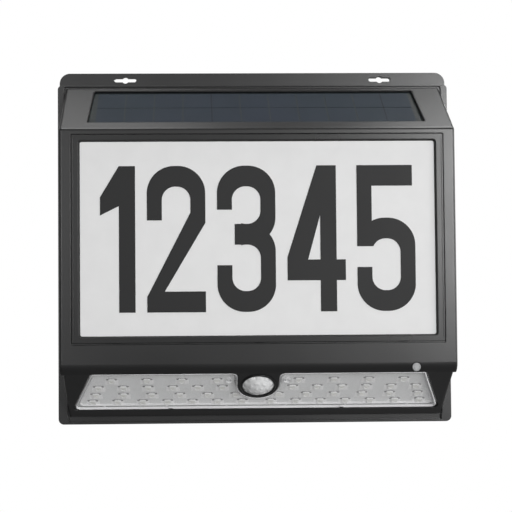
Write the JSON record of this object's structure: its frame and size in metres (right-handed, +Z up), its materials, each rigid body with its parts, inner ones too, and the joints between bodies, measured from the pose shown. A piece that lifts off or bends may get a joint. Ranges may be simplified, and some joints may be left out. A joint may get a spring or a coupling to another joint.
{
  "type": "illuminated house number sign",
  "caption": "Solar wall sign with sloped solar panel, edge-lit number panel, motion sensor and sloped LED lamp face, hung by slotted flange.",
  "frame": {"origin": "middle of the flat back face, on the wall plane", "axes": "+Z up, front looks along -Y, +X to the right seen from the front"},
  "size_m": [0.319, 0.0523, 0.286],
  "materials": {
    "bezel_plastic": "fine spark texture",
    "board_black": "black backing board",
    "board_green": "green solder mask",
    "board_white": "white solder mask",
    "button_grey": "satin",
    "can_metal": "drawn can",
    "capacitor_sleeve": "sleeve",
    "cell_wrap": "shrink wrap",
    "chip_black": "moulded",
    "connector_white": "moulded",
    "contact_nickel": "nickel plate",
    "digit_film": "satin film",
    "dome_white": "milky",
    "film_white": "white film",
    "filter_dark": "dark window",
    "foam": "closed cell foam",
    "guide_acrylic": "clear",
    "holder_black": "moulded",
    "inductor_dark": "ferrite",
    "led_body": "phosphor in white body",
    "lens_acrylic": "grey translucent, frosted",
    "panel_acrylic": "translucent, satin",
    "plate_plastic": "fine spark texture",
    "plunger_dark": "moulded",
    "screw_steel": "plain",
    "seal_rubber": "silicone",
    "shell_plastic": "fine spark texture",
    "solar_sheet": "clear",
    "solar_silicon": "dark blue cells",
    "tray_white": "moulded",
    "wire_insulation": "soft insulation"
  },
  "bodies": {
    "sign": {"back_cover": "plate_plastic", "backlight_board": "board_white", "backlight_leds": "led_body", "backlight_wires": "wire_insulation", "battery_cells": "cell_wrap", "battery_contacts": "contact_nickel", "battery_holder": "holder_black", "battery_holder_screws": "screw_steel", "battery_wires": "wire_insulation", "board_capacitor": "capacitor_sleeve", "board_chips": "chip_black", "board_connectors": "connector_white", "board_inductor": "inductor_dark", "control_board": "board_green", "control_board_screws": "screw_steel", "diffuser_film": "film_white", "digit_1": "digit_film", "digit_2": "digit_film", "digit_3": "digit_film", "digit_4": "digit_film", "digit_5": "digit_film", "front_housing": "shell_plastic", "housing_gasket": "seal_rubber", "housing_screws": "screw_steel", "lamp_board": "board_white", "lamp_board_screws": "screw_steel", "lamp_leds": "led_body", "lamp_lens": "lens_acrylic", "lamp_wires": "wire_insulation", "lens_gasket": "foam", "light_guide": "guide_acrylic", "light_tray": "tray_white", "light_tray_screws": "screw_steel", "number_panel": "panel_acrylic", "panel_bezel": "bezel_plastic", "pir_board": "board_green", "pir_dome": "dome_white", "pir_filter": "filter_dark", "pir_retaining_ring": "holder_black", "pir_ring": "bezel_plastic", "pir_sensor": "can_metal", "pir_spacer": "chip_black", "reflector_sheet": "film_white", "sensor_wires": "wire_insulation", "solar_board": "board_black", "solar_cells": "solar_silicon", "solar_cover": "solar_sheet", "solar_leads": "wire_insulation", "solar_seal": "foam", "switch_board": "board_green", "switch_board_screws": "screw_steel", "switch_body": "can_metal", "switch_wires": "wire_insulation"},
    "button": {"mode_button": "button_grey", "switch_plunger": "plunger_dark"}
  },
  "joints": [
    {"name": "mode_button_press", "type": "slide", "parent": "sign", "child": "button", "axis": [0, 1, 0], "range_m": [0, 0.0006], "stiffness_N_per_m": 1500, "springref_m": -0.0003}
  ]
}
